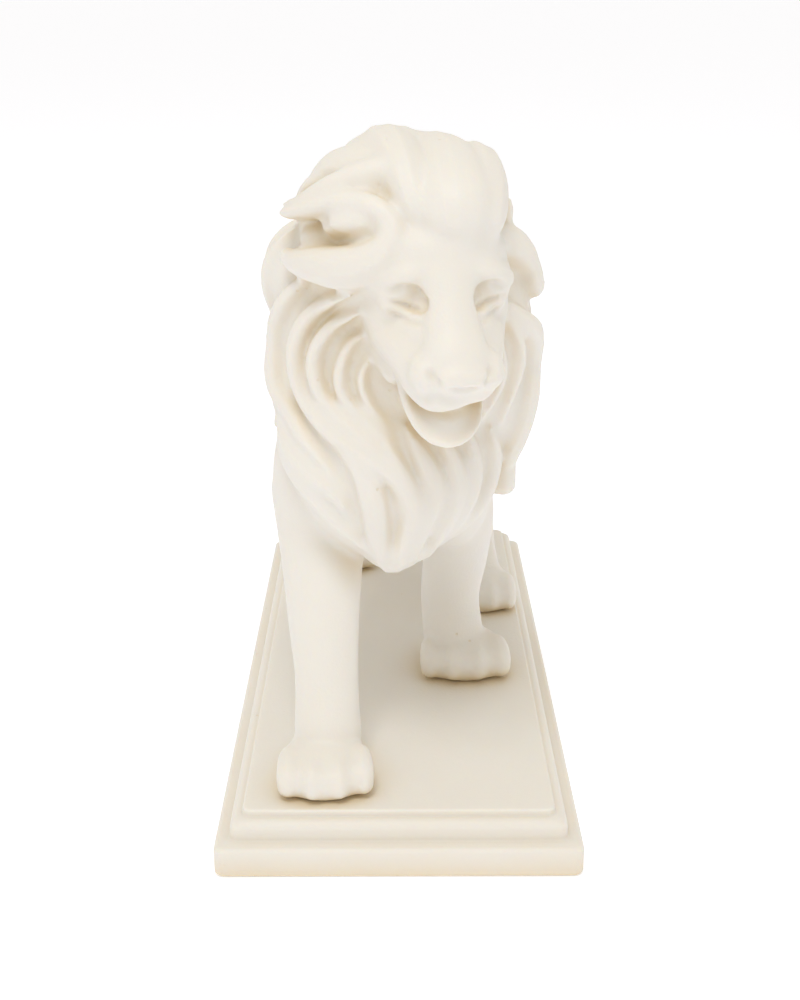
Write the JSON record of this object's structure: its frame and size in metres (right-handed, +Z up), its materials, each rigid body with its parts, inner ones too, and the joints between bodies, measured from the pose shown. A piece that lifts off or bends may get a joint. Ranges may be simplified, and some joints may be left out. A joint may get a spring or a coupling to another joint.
{
  "type": "lion figurine",
  "caption": "Walking lion with a full curling mane, cast in white stone, on an oblong plinth with a stepped moulded edge.",
  "frame": {"origin": "centre of the plinth's underside", "axes": "+Z up, the lion faces and walks towards -Y, +X to its left"},
  "size_m": [0.085, 0.186, 0.1638],
  "materials": {
    "cast_stone": "matt, fine-grained"
  },
  "bodies": {
    "root": {"lion": "cast_stone", "plinth": "cast_stone"}
  },
  "joints": []
}
